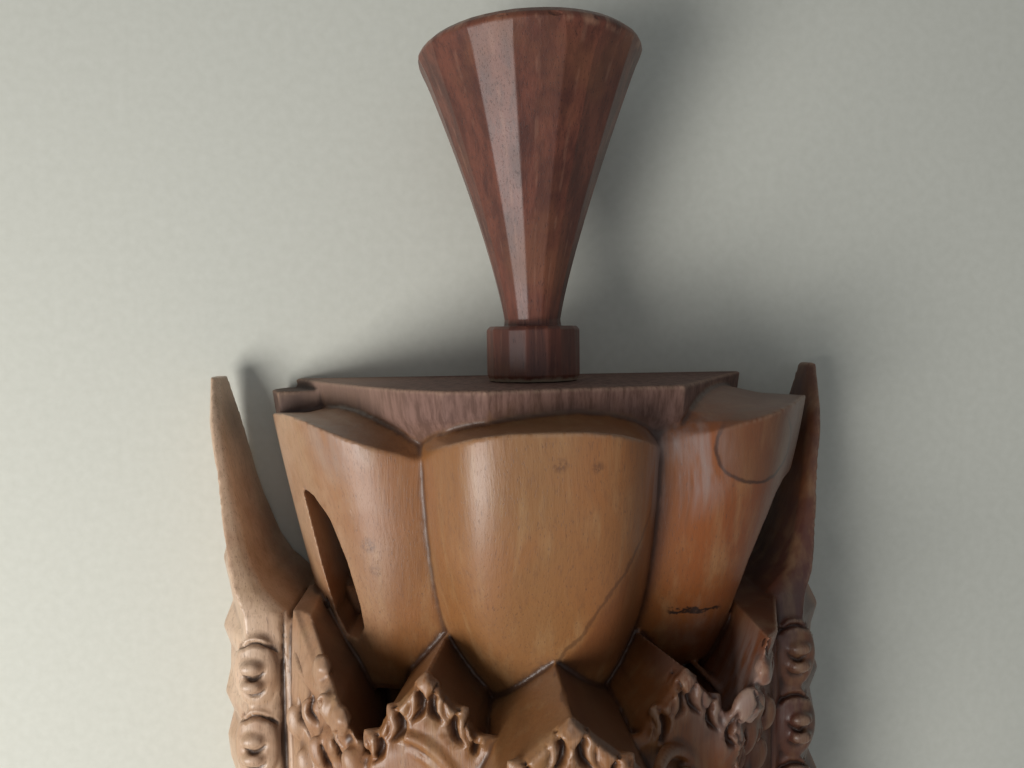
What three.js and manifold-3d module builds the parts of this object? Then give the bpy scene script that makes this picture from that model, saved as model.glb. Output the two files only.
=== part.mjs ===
// A carved wooden barong mask, lying on its back, in millimetres.
// +Z points out of the face, +Y runs from the chin to the crown and its finial, +X is to the right.
// The origin is at the middle of the object's length and width, on the surface that it lies on.
// Inside the carver's group, Y is counted from the crown's flat top: the mask is below, the finial above.
import * as THREE from 'three';
import { mergeVertices } from 'three/addons/utils/BufferGeometryUtils.js';
import Module from 'manifold-3d';

const wasm = await Module();
wasm.setup();

// Driving sizes
const maskLength = 345;
const finialLength = 134;
const wingReach = 132; // half of the full width, at the tips of the wings
const glueGap = 0.3; // between the finial's foot and the crown
const crownShift = 3.5; // the crown and finial stand this far to the right of the wings' middle
const crownSide = 100; // each side of the half hexagon at the crown's top
const petalLength = 106;
const diademFront = 130; // how far the middle gable stands out
const hollowWall = 15;
const sliver = 0.1; // faces thinner than this are merged away after the cuts

const hexHeight = crownSide * Math.sin(Math.PI / 3);
const turnStep = Math.PI / 3;

// ---------------------------------------------------------------- solids from points

function volumeOf(points, faces) {
  return faces.reduce((sum, [a, b, c]) => (
    sum + points[a].dot(points[b].clone().cross(points[c])) / 6), 0);
}

function solidOf(points, faces) {
  const outward = volumeOf(points, faces) > 0 ? faces : faces.map(([a, b, c]) => [a, c, b]);
  const geometry = new THREE.BufferGeometry().setFromPoints(points);
  geometry.setIndex(outward.flat());
  return solidFrom(geometry);
}

function solidFrom(geometry) {
  const bare = geometry.clone();
  bare.deleteAttribute('normal');
  bare.deleteAttribute('uv');
  const merged = mergeVertices(bare, 1e-4);
  const corners = merged.index.array;
  const kept = [];
  for (let i = 0; i < corners.length; i += 3) {
    const [a, b, c] = corners.slice(i, i + 3);
    if (a !== b && b !== c && c !== a) kept.push(a, b, c);
  }
  const mesh = new wasm.Mesh({
    numProp: 3,
    vertProperties: new Float32Array(merged.attributes.position.array),
    triVerts: new Uint32Array(kept),
  });
  return new wasm.Manifold(mesh);
}

// Closes a flat loop over its own corners.
function capFaces(loop) {
  const normal = new THREE.Vector3();
  loop.forEach((p, i) => normal.add(p.clone().cross(loop[(i + 1) % loop.length])));
  const sizes = normal.toArray().map(Math.abs);
  const dropped = sizes.indexOf(Math.max(...sizes));
  const flat = loop.map((p) => new THREE.Vector2(...p.toArray().filter((_, axis) => axis !== dropped)));
  const turning = Math.sign(THREE.ShapeUtils.area(flat));
  return THREE.ShapeUtils.triangulateShape(flat, []).map(([a, b, c]) => {
    const same = Math.sign(THREE.ShapeUtils.area([flat[a], flat[b], flat[c]])) === turning;
    return same ? [a, b, c] : [a, c, b];
  });
}

// Joins a row of loops, each with the same number of points, into one closed solid. Each end is closed
// round its middle, or over its own corners where the outline is one that no middle point can see all of.
function loft(loops, endsBent = false) {
  const around = loops[0].length;
  const points = loops.flat();
  const faces = [];
  for (let row = 0; row + 1 < loops.length; row++) {
    for (let i = 0; i < around; i++) {
      const a = row * around + i;
      const b = row * around + ((i + 1) % around);
      faces.push([a, b, b + around], [a, b + around, a + around]);
    }
  }
  [0, loops.length - 1].forEach((row) => {
    const first = row * around;
    let cap = [];
    if (endsBent) {
      cap = capFaces(loops[row]).map((face) => face.map((corner) => corner + first));
    } else {
      points.push(loops[row].reduce((sum, p) => sum.add(p), point(0, 0, 0)).divideScalar(around));
      cap = loops[row].map((_, i) => [first + i, first + ((i + 1) % around), points.length - 1]);
    }
    cap.forEach(([a, b, c]) => faces.push(row ? [a, b, c] : [a, c, b]));
  });
  return solidOf(points, faces);
}

function steps(count, from, to) {
  return Array.from({ length: count + 1 }, (_, i) => from + ((to - from) * i) / count);
}

function point(x, y, z) {
  return new THREE.Vector3(x, y, z);
}

// A straight prism between two Y levels: its outline is a list of [x, z].
function prismAlongY(outline, low, high) {
  return loft([low, high].map((y) => outline.map(([x, z]) => point(x, y, z))), true);
}

// A straight prism between two Z levels: its outline is a list of [x, y].
function prismAlongZ(outline, low, high) {
  return loft([low, high].map((z) => outline.map(([x, y]) => point(x, y, z))), true);
}

// A rounded lump with few faces, flattened to three half sizes and turned in its own place.
function lump([x, y, z], [rx, ry, rz], turn = [0, 0, 0], sides = 8) {
  const ball = new THREE.SphereGeometry(1, sides, Math.ceil(sides / 2));
  ball.scale(rx, ry, rz);
  const place = new THREE.Matrix4().makeRotationFromEuler(new THREE.Euler(...turn));
  ball.applyMatrix4(place.setPosition(x, y, z));
  return solidFrom(ball);
}

// A rod with round sections along a smooth curve: its stops are [x, y, z, radius].
function taperedRod(stops, sides = 6, rings = 8) {
  const curve = new THREE.CatmullRomCurve3(stops.map(([x, y, z]) => point(x, y, z)));
  const frames = curve.computeFrenetFrames(rings);
  return loft(steps(rings, 0, 1).map((t, ring) => {
    const middle = curve.getPoint(t);
    const along = t * (stops.length - 1);
    const stop = Math.min(Math.floor(along), stops.length - 2);
    const radius = THREE.MathUtils.lerp(stops[stop][3], stops[stop + 1][3], along - stop);
    return steps(sides - 1, 0, (2 * Math.PI * (sides - 1)) / sides).map((angle) => middle.clone()
      .addScaledVector(frames.normals[ring], radius * Math.cos(angle))
      .addScaledVector(frames.binormals[ring], radius * Math.sin(angle)));
  }));
}

function joined(solids) {
  return solids.reduce((whole, next) => whole.add(next));
}

function bothSides(make) {
  return joined([make(-1), make(1)]);
}

// ---------------------------------------------------------------- crown

// Share of the crown's full half hexagon at a given height: it narrows towards the face.
function crownShare(y) {
  return 0.973 + 0.0028 * y;
}

function halfHexagon(share) {
  const corner = crownSide * share;
  return [
    [crownShift - corner, 0],
    [crownShift - corner / 2, hexHeight * share],
    [crownShift + corner / 2, hexHeight * share],
    [crownShift + corner, 0],
  ];
}

function crownCore() {
  const levels = [-8, -60, -135];
  const inset = 0.035;
  return loft(levels.map((y) => halfHexagon(crownShare(y) - inset).map(([x, z]) => point(x, y, z))));
}

// The top slab keeps a sharp right corner, and a left one that the carver rounded into a swelling.
function crownSlab() {
  const roundedFront = new THREE.SplineCurve([
    new THREE.Vector2(-1.03 * crownSide, 0),
    new THREE.Vector2(-0.74 * crownSide, 48),
    new THREE.Vector2(-0.34 * crownSide, 95),
    new THREE.Vector2(0.1 * crownSide, 92),
    new THREE.Vector2(crownSide / 2, hexHeight),
  ]).getPoints(12).map(({ x, y }) => [x + crownShift, Math.max(y, 0)]);
  const outline = [...roundedFront, [crownShift + crownSide, 0]];
  const levels = [[-28.3, 0.89], [-10, 0.985], [0, 1]];
  return loft(levels.map(([y, share]) => (
    outline.map(([x, z]) => point(crownShift + (x - crownShift) * share, y, z * share)))));
}

// ---------------------------------------------------------------- petals

const petalColumns = 12;
const petalRows = 7;
const petalSunk = 9; // how far a petal's edges run into the crown

// A petal swells from one side of the half hexagon. Its rim is an arch with a dished bevel behind it, and
// it narrows and sinks towards its tail. Its columns run from the bevel's back edge round to the tail.
function petal(form) {
  const { turn, reach, halfWidth, rimTop, bevelTop, rimDrop, slimming, tail, tailWidth } = form;
  const out = point(Math.sin(turn), 0, Math.cos(turn));
  const across = point(Math.cos(turn), 0, -Math.sin(turn));
  const place = (t, y, n) => out.clone().multiplyScalar(n).addScaledVector(across, t)
    .add(point(crownShift, y, 0));
  const fullness = (u) => 1 - u ** 4;
  const facet = (y) => hexHeight * crownShare(y);
  const narrowing = (v) => (1 - tailWidth ** 2) * (Math.abs(v - 0.15) / 0.85) ** 2.6;
  const widthAt = (v) => halfWidth * Math.sqrt(1 - narrowing(v));
  const tailY = rimTop - petalLength;
  const columns = steps(petalColumns, -1, 1).map((step) => {
    const u = Math.sin(step * Math.PI / 2);
    const rimY = rimTop - rimDrop * Math.abs(u) ** 3;
    const backY = bevelTop - (rimDrop + rimTop - bevelTop - 3) * u * u;
    const backN = hexHeight - 3 - (petalSunk + 5) * Math.abs(u) ** 3;
    const belly = steps(petalRows, 0, 1).map((v) => {
      const y = THREE.MathUtils.lerp(rimY, tailY, v);
      const edge = facet(y) - petalSunk;
      const crest = reach * (1 - slimming * v - (1 - tail - slimming) * v * v);
      return place(u * widthAt(v), y, edge + (crest - edge) * fullness(u));
    });
    const t = u * halfWidth * 0.98;
    const rimN = facet(rimY) - petalSunk + (reach - facet(rimY) + petalSunk) * fullness(u);
    const bevel = place(t, (rimY + backY) / 2 - 1.5 * fullness(u), (rimN + backN) / 2);
    const top = [place(t * 0.9, backY - 8, backN - 20), place(t, backY, backN), bevel];
    return [...top, ...belly, place(u * widthAt(1), tailY, facet(tailY) - 18)];
  });
  return loft(columns);
}

// The tail is narrower and nearer the crown's middle than the rim, by the shares given last.
const leftPetal = {
  turn: -turnStep, reach: 109, halfWidth: 55, rimTop: -11, bevelTop: -9, rimDrop: 17,
  slimming: 0.185, tail: 0.8, tailWidth: 0.65,
};
const frontPetal = {
  turn: 0, reach: 112, halfWidth: 46, rimTop: -12.4, bevelTop: -6, rimDrop: 14,
  slimming: 0.06, tail: 0.73, tailWidth: 0.56,
};
const rightPetal = {
  turn: turnStep, reach: 119, halfWidth: 55, rimTop: -7.5, bevelTop: -3, rimDrop: 15,
  slimming: 0.12, tail: 0.73, tailWidth: 0.5,
};

function petals() {
  return joined([leftPetal, frontPetal, rightPetal].map(petal));
}

// What is left of the next petals, cut flat by the mask's back.
function rearStub(side) {
  const outer = crownShift + side * 111;
  const inner = crownShift + side * 80;
  const front = 26;
  const top = side < 0 ? -4 : -17;
  return loft([[top, 0], [-40, 5], [-78, 20]].map(([y, pulledIn]) => [
    point(outer - side * (4 + pulledIn), y, 0),
    point(outer - side * pulledIn, y, front * 0.4),
    point(outer - side * (6 + pulledIn), y, front),
    point(inner - side * pulledIn, y, front),
    point(inner - side * pulledIn, y, 0),
  ]));
}

// The piercing beside the left petal's outer wall, which leaves only a thin strip outside it.
function leftSlot() {
  const outline = [
    [-86.5, -40], [-80, -41], [-73, -48], [-67, -63], [-63, -80],
    [-62, -90], [-64.5, -96], [-70, -97], [-75, -91], [-80, -72],
  ];
  return prismAlongZ(outline, -1, 140);
}

// On the right the same strip has broken away, so the piercing is open to the side.
function rightBite() {
  const outline = [
    [140, -39], [97, -39], [92, -42], [86, -54], [81.5, -66], [78, -80], [76, -92], [80, -96], [140, -96],
  ];
  return prismAlongZ(outline, -1, 140);
}

function crown() {
  const body = joined([crownSlab(), crownCore(), petals(), bothSides(rearStub)]);
  return body.subtract(leftSlot()).subtract(rightBite());
}

// ---------------------------------------------------------------- wings

// Section of a wing at stations down its length, each size measured from the middle or from the back.
const wingStations = [
  { y: 4, outer: 132, crest: 130, groove: 128.5, inner: 127.5, side: 14, top: 20, foot: 8 },
  { y: -18, outer: 128.5, crest: 126, groove: 123.5, inner: 122.3, side: 29, top: 34, foot: 4 },
  { y: -47, outer: 124.5, crest: 121, groove: 117.5, inner: 116, side: 35, top: 42, foot: 2 },
  { y: -75, outer: 121.5, crest: 114, groove: 109, inner: 106, side: 40, top: 55, foot: 0 },
  { y: -88, outer: 121.5, crest: 108, groove: 97, inner: 92, side: 42, top: 59, foot: 0 },
  { y: -120, outer: 122, crest: 106, groove: 91.5, inner: 78, side: 44, top: 62, foot: 0 },
  { y: -170, outer: 122, crest: 106, groove: 91.5, inner: 74, side: 44, top: 62, foot: 0 },
  { y: -220, outer: 118, crest: 104, groove: 91, inner: 74, side: 40, top: 58, foot: 0 },
  { y: -258, outer: 108, crest: 98, groove: 87, inner: 68, side: 30, top: 46, foot: 0 },
  { y: -292, outer: 88, crest: 82, groove: 76, inner: 60, side: 14, top: 24, foot: 0 },
];
const scallopPitch = 24;
const scallopDepth = 3.2;
const beadPitch = 27.5;

function stationAt(stations, y) {
  const next = Math.max(1, stations.findIndex((station) => station.y <= y));
  const [above, below] = [stations[next - 1], stations[next]];
  const t = (above.y - y) / (above.y - below.y);
  const mixed = Object.keys(above).map((key) => [key, THREE.MathUtils.lerp(above[key], below[key], t)]);
  return Object.fromEntries(mixed);
}

// Flame-like notches run down a wing's outer edge: each one sinks slowly and ends in a step.
function scallopAt(y) {
  const share = ((((-y - 22) % scallopPitch) + scallopPitch) % scallopPitch) / scallopPitch;
  return y < -20 ? scallopDepth * Math.sin(Math.PI * share ** 1.6) : 0;
}

function wingBlade(side) {
  const [top, bottom] = [wingStations[0].y, wingStations.at(-1).y];
  const levels = steps(33, side < 0 ? top - 2 : top, bottom);
  return loft(levels.map((y) => {
    const at = stationAt(wingStations, y);
    const notch = scallopAt(y);
    return [
      [at.outer - 1.5, at.foot],
      [at.outer - notch / 2, at.side * 0.55],
      [at.outer - notch, at.side - notch],
      [at.crest, at.top],
      [at.groove, at.top - 1.5],
      [at.inner, at.top - 4],
      [at.inner, at.foot],
    ].map(([x, z]) => point(side * x, y, z));
  }));
}

// Each bead module is an arched lip with two beads under it.
function beadModules(side) {
  const modules = steps(4, -98, -98 - 4 * beadPitch);
  return joined(modules.flatMap((y) => {
    const at = stationAt(wingStations, y);
    const x = side * (at.crest - 3);
    const lip = taperedRod([
      [x - 8, y - 5, at.top - 3, 1.5], [x, y, at.top + 0.5, 2.4], [x + 8, y - 5, at.top - 3, 1.5],
    ], 4, 3);
    const beads = [7, 14].map((down) => lump([x, y - down, at.top], [4, 3.6, 3], [0, 0, 0], 5));
    return [lip, ...beads];
  }));
}

// The leafy block inside each wing rises from the groove to a high inner edge and leans to the middle.
const leafStations = [
  { y: -86, groove: 94, foot: 58, inner: 75.5, crest: 98 },
  { y: -105, groove: 94, foot: 61, inner: 69, crest: 99 },
  { y: -124, groove: 94, foot: 62, inner: 60, crest: 99 },
  { y: -150, groove: 94, foot: 62, inner: 54, crest: 97 },
  { y: -185, groove: 92, foot: 58, inner: 66, crest: 84 },
];
const leafUnderside = 26;
// The left block's top is cut away lower, beside the pierced strip.
const leftLeafTop = { y: -86, groove: 94, foot: 56, inner: 86, crest: 62 };

function leafBlock(side) {
  const stations = side < 0 ? [leftLeafTop, ...leafStations.slice(1)] : leafStations;
  const body = loft(stations.map(({ y, groove, foot, inner, crest }) => [
    point(crownShift + side * groove, y, foot),
    point(crownShift + side * (inner + 6), y, crest - 7),
    point(crownShift + side * inner, y, crest),
    point(crownShift + side * (inner + 1), y, leafUnderside),
    point(crownShift + side * groove, y, leafUnderside),
  ]));
  const lobes = steps(6, -98, -168).flatMap((y, i) => {
    const at = stationAt(stations, y);
    const middle = (at.inner + at.groove) / 2;
    const slope = Math.atan2(at.crest - at.foot, at.groove - at.inner);
    const lean = [0, side * slope, side * 0.5];
    return [
      lump([crownShift + side * (at.inner + 3), y, at.crest - 3], [5.5, 6.5, 3.6], lean, 6),
      lump([crownShift + side * (middle - 1), y - 5, (at.crest + at.foot) / 2], [6.5, 8, 3.4], lean, 6),
    ].slice(0, i % 2 ? 1 : 2);
  });
  return joined([body, ...lobes]);
}

function web(side) {
  const levels = [[-88, 28], [-104, 42], [-146, 54], [-186, 50]];
  return loft(levels.map(([y, z]) => [
    point(side * 30, y, 1), point(side * 30, y, z), point(side * 100, y, z - 6), point(side * 100, y, 1),
  ]));
}

function wing(side) {
  return joined([wingBlade(side), beadModules(side), leafBlock(side), web(side)]);
}

// ---------------------------------------------------------------- diadem

// A gable with curved shoulders whose ridge points out of the mask.
function gable({ turn, apexY, shift, halfWidth, back, front, length }) {
  const half = [[0, 0], [0.3, -0.1], [0.68, -0.22], [0.94, -0.42], [1, -0.72], [0.82, -1]];
  const right = half.map(([x, y]) => [x * halfWidth, y * length]);
  const left = right.slice(1).reverse().map(([x, y]) => [-x, y]);
  const place = new THREE.Matrix4().makeRotationY(turn).setPosition(crownShift + shift, apexY, 0);
  const at = (x, y, z) => point(x, y, z).applyMatrix4(place);
  const body = loft([back, front].map((z) => [...right, ...left].map(([x, y]) => at(x, y, z))));
  return joined([body, leafCrest(place, halfWidth, length, front)]);
}

// Leaf lobes stand along a gable's front edge, over a pair of scrolls on its face.
function leafCrest(place, halfWidth, length, front) {
  const slope = Math.atan2(0.22 * length, 0.68 * halfWidth);
  const lobe = 0.2 * halfWidth + 2;
  const lobes = [-2, -1, 0, 1, 2].map((step) => {
    const x = step * 0.36 * halfWidth;
    const y = -Math.abs(x) * Math.tan(slope) - 1.2 * lobe;
    return lump([x, y, front - 0.6], [lobe * 0.8, lobe * 1.3, 4.3], [0.07, 0.05, -Math.sign(step) * 0.8], 6);
  });
  const scrolls = [-1, 1].map((side) => {
    const turns = steps(5, 0, 1.6 * Math.PI).map((angle, i) => {
      const radius = 0.3 * halfWidth - i * 0.7;
      const x = side * (0.42 * halfWidth + radius * Math.cos(angle));
      return [x, -0.6 * length + radius * Math.sin(angle), front + 0.2, 2.8 - i * 0.25];
    });
    return taperedRod(turns, 4, 8);
  });
  return joined([...lobes, ...scrolls]).transform(place.elements);
}

function diadem() {
  return joined([
    gable({ turn: 0.02, apexY: -94, shift: 1, halfWidth: 32, back: 40, front: diademFront, length: 80 }),
    gable({ turn: -0.18, apexY: -90, shift: -21, halfWidth: 22, back: 30, front: 107, length: 78 }),
    gable({ turn: 0.28, apexY: -94, shift: 17, halfWidth: 22, back: 30, front: 105, length: 76 }),
  ]);
}

// ---------------------------------------------------------------- face

// Half width and height of the head at stations down its length.
const headStations = [
  { y: -120, wide: 66, high: 66 },
  { y: -150, wide: 78, high: 84 },
  { y: -190, wide: 84, high: 92 },
  { y: -235, wide: 84, high: 90 },
  { y: -275, wide: 76, high: 86 },
  { y: -310, wide: 60, high: 76 },
  { y: -332, wide: 42, high: 60 },
  { y: -maskLength, wide: 22, high: 34 },
];

function headLoop(y, inset, around) {
  const { wide, high } = stationAt(headStations, y);
  const arch = steps(around, 0, Math.PI).map((angle) => {
    const x = Math.sign(Math.cos(angle)) * Math.abs(Math.cos(angle)) ** 0.85 * (wide - inset);
    const z = Math.abs(Math.sin(angle)) ** 0.8 * (high - inset);
    return point(x, y, Math.abs(z) < 1e-6 ? 0 : z);
  });
  return arch;
}

function onHead(x, y) {
  const { wide, high } = stationAt(headStations, y);
  const angle = Math.acos(Math.min(1, Math.abs(x) / wide) ** (1 / 0.85));
  return high * Math.sin(angle) ** 0.8;
}

function head() {
  return loft(steps(10, headStations[0].y, -maskLength).map((y) => headLoop(y, 0, 14)));
}

// The face is hollow behind, open at the back, with its wall left thick.
function hollow() {
  const levels = steps(7, -150, -maskLength + 24);
  return loft(levels.map((y, i) => {
    const pinch = i === 0 || i === levels.length - 1 ? 14 : 0;
    return headLoop(y, hollowWall + pinch, 10).map((p) => (p.z > 0 ? p : p.setZ(-1)));
  }));
}

function brow(side) {
  const stops = [[7, -212, 6], [20, -194, 9], [42, -188, 9], [62, -196, 7], [74, -184, 3]];
  return taperedRod(stops.map(([x, y, r]) => [side * x, y, onHead(x, y) + 3, r]), 5, 7);
}

function eye(side) {
  const [x, y, ball] = [34, -217, 17];
  const z = onHead(x, y) - 5;
  const lid = steps(8, 0, 2 * Math.PI).map((angle) => [
    side * (x + (ball + 3) * Math.cos(angle)), y + (ball + 1) * Math.sin(angle),
    onHead(x + ball * Math.cos(angle), y) + 1.5, 3.4,
  ]);
  return joined([lump([side * x, y, z], [ball, ball - 1, ball], [0, 0, 0], 10), taperedRod(lid, 4, 9)]);
}

function nose() {
  const [tipY, tipZ] = [-248, 112];
  const bridge = taperedRod([[0, -200, 92, 9], [0, -222, 100, 12], [0, tipY, tipZ - 4, 17]], 6, 4);
  const bulb = lump([0, tipY, tipZ], [19, 15, 17], [0, 0, 0], 8);
  const nostrils = bothSides((side) => lump([side * 21, tipY - 1, tipZ - 9], [13, 12, 13], [0, 0, 0], 6));
  const flares = bothSides((side) => taperedRod([
    [side * 30, tipY - 8, 92, 4], [side * 38, tipY + 4, 90, 5], [side * 31, tipY + 15, 92, 3],
  ], 4, 4));
  return joined([bridge, bulb, nostrils, flares]);
}

function cheek(side) {
  return lump([side * 54, -250, 64], [23, 27, 17], [0, side * 0.7, 0], 8);
}

const mouthY = -288;

function mouthCut() {
  const lip = (x, drop) => [x, mouthY + drop + 0.0035 * x * x];
  const outline = [...steps(8, -50, 50).map((x) => lip(x, 12)), ...steps(8, 50, -50).map((x) => lip(x, -12))];
  return prismAlongZ(outline, 74, 140);
}

function lips() {
  return joined([14, -15].map((drop) => {
    const stops = steps(6, -56, 56).map((x) => {
      const y = mouthY + drop * (1 - (x / 66) ** 4) + 0.0035 * x * x;
      return [x, y, onHead(x, y) + 0.5, 5.5 - Math.abs(x) / 22];
    });
    return taperedRod(stops, 5, 8);
  }));
}

// A row of square teeth above and below, and a curved fang at each corner of each row.
function teeth() {
  const toothPitch = 12;
  const rows = [[7, 6], [-8, 4]].flatMap(([drop, count]) => (
    steps(count - 1, -(count - 1) / 2, (count - 1) / 2).map((place) => {
      const x = place * toothPitch;
      const y = mouthY + drop + 0.0035 * x * x;
      const z = onHead(x, y) - 3;
      const tooth = new THREE.BoxGeometry(toothPitch - 1, 11, 26).translate(x, y, z - 13);
      return solidFrom(tooth);
    })));
  const fangs = [[1, 44, 9], [-1, 37, -9]].flatMap(([down, across, drop]) => [-1, 1].map((side) => {
    const root = mouthY + drop + 0.0035 * across * across;
    return taperedRod([
      [side * across, root + down * 2, 62, 5.5],
      [side * (across + 2), root - down * 9, 70, 4.4],
      [side * (across + 5), root - down * 19, 72, 1.2],
    ], 5, 3);
  }));
  return joined([...rows, ...fangs]);
}

function chin() {
  return lump([0, -322, 60], [26, 15, 18], [0, 0, 0], 10);
}

function headband() {
  const levels = [[-158, -4], [-161, 4], [-169, 5], [-173, -4]];
  return loft(levels.map(([y, grow]) => headLoop(y, -grow, 13)));
}

function face() {
  const skull = head().subtract(mouthCut());
  return joined([
    skull, headband(), bothSides(brow), bothSides(eye), nose(), bothSides(cheek), lips(), teeth(), chin(),
  ]);
}

// ---------------------------------------------------------------- the two pieces

// Everything below the plane that the back was sawn to.
function offcut() {
  const reach = 2 * wingReach;
  return prismAlongZ([[-reach, reach], [reach, reach], [reach, -2 * reach], [-reach, -2 * reach]], -60, 0);
}

function maskSolid() {
  const block = joined([crown(), bothSides(wing), diadem(), face()]);
  return block.subtract(offcut()).subtract(hollow());
}

// The finial is cut in flat facets from its collar to its rim, and its end leans a little.
function finialSolid() {
  const facets = 16;
  const [collarRadius, collarHeight, neckRadius, rimRadius, flareLength] = [18.5, 21, 10.8, 42.7, 100.5];
  const axisZ = 48;
  const endLean = 0.04;
  const flare = steps(7, 0, 1).map((t) => [
    neckRadius + (rimRadius - neckRadius) * t ** 1.25, collarHeight + flareLength * t, t * t,
  ]);
  const dome = [[0.98, 2], [0.75, 6.4], [0.42, 10.4]].map(([share, rise]) => (
    [rimRadius * share, collarHeight + flareLength + rise, 1]));
  const profile = [[collarRadius - 1, glueGap, 0], [collarRadius, 3, 0], [collarRadius, collarHeight, 0],
    ...flare, ...dome];
  const loops = profile.map(([radius, y, lean]) => steps(facets - 1, 0, facets - 1).map((i) => {
    const angle = (2 * Math.PI * (i + 0.5)) / facets;
    const x = radius * Math.cos(angle);
    return point(crownShift + x, y + endLean * lean * x, axisZ + radius * Math.sin(angle));
  }));
  const tip = loops.at(-1).map((p) => p.clone().lerp(point(crownShift, finialLength, axisZ), 0.9)
    .setY(finialLength));
  return loft([...loops, tip]);
}

function meshOf(name, solid, color, roughness) {
  const { vertProperties, triVerts } = solid.simplify(sliver).getMesh();
  const geometry = new THREE.BufferGeometry();
  geometry.setAttribute('position', new THREE.BufferAttribute(new Float32Array(vertProperties), 3));
  geometry.setIndex(new THREE.BufferAttribute(new Uint32Array(triVerts), 1));
  geometry.computeVertexNormals();
  const mesh = new THREE.Mesh(geometry, new THREE.MeshStandardMaterial({ color, roughness, metalness: 0 }));
  mesh.name = name;
  return mesh;
}

const carving = new THREE.Group();
carving.position.y = (maskLength - finialLength) / 2;
carving.add(meshOf('mask', maskSolid(), 0xa9642f, 0.45));
carving.add(meshOf('finial', finialSolid(), 0x6e3a26, 0.35));

const model = new THREE.Group();
model.add(carving);

export default model;
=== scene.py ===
import math

import bpy
import numpy as np
from mathutils import Matrix, Vector
from mathutils.bvhtree import BVHTree


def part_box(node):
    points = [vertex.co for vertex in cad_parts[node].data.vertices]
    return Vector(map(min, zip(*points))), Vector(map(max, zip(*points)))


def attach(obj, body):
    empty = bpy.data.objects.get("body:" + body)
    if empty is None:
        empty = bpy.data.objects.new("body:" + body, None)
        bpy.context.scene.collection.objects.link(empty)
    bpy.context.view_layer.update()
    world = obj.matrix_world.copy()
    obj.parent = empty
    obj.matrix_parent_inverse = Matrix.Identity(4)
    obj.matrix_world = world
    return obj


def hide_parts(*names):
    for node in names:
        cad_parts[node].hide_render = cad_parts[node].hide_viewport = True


# A carved wooden barong mask with a faceted finial, lying on its back on a pale floor. In metres.
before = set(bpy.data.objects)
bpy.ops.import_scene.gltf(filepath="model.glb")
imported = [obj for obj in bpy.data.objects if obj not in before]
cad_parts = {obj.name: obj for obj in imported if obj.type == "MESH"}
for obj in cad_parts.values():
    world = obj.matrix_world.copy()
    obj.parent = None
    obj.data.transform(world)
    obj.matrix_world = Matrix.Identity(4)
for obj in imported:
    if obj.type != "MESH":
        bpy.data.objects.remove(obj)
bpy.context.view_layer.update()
bpy.ops.object.select_all(action="DESELECT")
foot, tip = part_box("finial")
crown_top = foot.y - 0.0003  # the crown's flat top, which the finial is glued to
crown_x = (foot.x + tip.x) / 2
crown_side = 0.1  # each side of the half hexagon at the crown's top
hex_height = crown_side * math.sin(math.pi / 3)


# ------------------------------------------------------------------ camera, floor and light
# The camera looks almost straight down on the crown, and leaves the chin out of its view.

camera_data = bpy.data.cameras.new("camera")
camera_data.sensor_width = 36
camera_data.lens = 26.7
camera_data.clip_start = 0.01
camera = bpy.data.objects.new("camera", camera_data)
bpy.context.collection.objects.link(camera)
camera_place = Vector((-0.02, crown_top + 0.018, 0.345))
aim = Vector((-0.0023, crown_top - 0.0043, 0))
lean = math.radians(0.8)
forward = (aim - camera_place).normalized()
right = forward.cross(Vector((math.sin(lean), math.cos(lean), 0))).normalized()
turned = Matrix((right, right.cross(forward), -forward)).transposed()
camera.matrix_world = Matrix.Translation(camera_place) @ turned.to_4x4()
bpy.context.scene.camera = camera


def area_light(name, place, target, size, power, color):
    light = bpy.data.lights.new(name, "AREA")
    light.size = size
    light.energy = power
    light.color = color
    lamp = bpy.data.objects.new(name, light)
    lamp.location = place
    lamp.rotation_euler = (Vector(target) - Vector(place)).to_track_quat("-Z", "Y").to_euler()
    bpy.context.collection.objects.link(lamp)


area_light("window", (-0.54, -0.2, 0.66), (-0.04, 0.06, 0), 0.42, 6.6, (1, 0.985, 0.96))
area_light("sky", (0.1, 0.1, 1.2), (0, 0.1, 0), 1.0, 0.8, (0.93, 0.97, 1))
bpy.context.scene.view_settings.view_transform = "Standard"

world = bpy.data.worlds.new("room")
world.use_nodes = True
world.node_tree.nodes["Background"].inputs["Color"].default_value = (0.9, 0.95, 1, 1)
world.node_tree.nodes["Background"].inputs["Strength"].default_value = 0.2
bpy.context.scene.world = world


def add_node(tree, kind, inputs=None, **settings):
    """Adds one shader node. An input that is another node's socket is linked, and any other is set."""
    node = tree.nodes.new("ShaderNode" + kind)
    for name, setting in settings.items():
        setattr(node, name, setting)
    for socket, value in (inputs or {}).items():
        if isinstance(value, bpy.types.NodeSocket):
            tree.links.new(value, node.inputs[socket])
        else:
            node.inputs[socket].default_value = value
    return node


def mixed(tree, share, low, high):
    """The colour that lies a share of the way from one to another. Sockets 6, 7 and 2 are the colours."""
    return add_node(tree, "Mix", {0: share, 6: low, 7: high}, data_type="RGBA").outputs[2]


def ramped(tree, value, low, high):
    """0 below low, 1 above high, and smooth between."""
    sockets = {"Value": value, "From Min": low, "From Max": high}
    return add_node(tree, "MapRange", sockets, interpolation_type="SMOOTHSTEP").outputs[0]


def maths(tree, operation, *values):
    return add_node(tree, "Math", dict(enumerate(values)), operation=operation).outputs[0]


def noise(tree, vector, scale, detail=3, roughness=0.5):
    sockets = {"Vector": vector, "Scale": scale, "Detail": detail, "Roughness": roughness}
    return add_node(tree, "TexNoise", sockets).outputs[0]


def new_material(name):
    material = bpy.data.materials.new(name)
    material.use_nodes = True
    material.node_tree.nodes.clear()
    return material, material.node_tree


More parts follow.
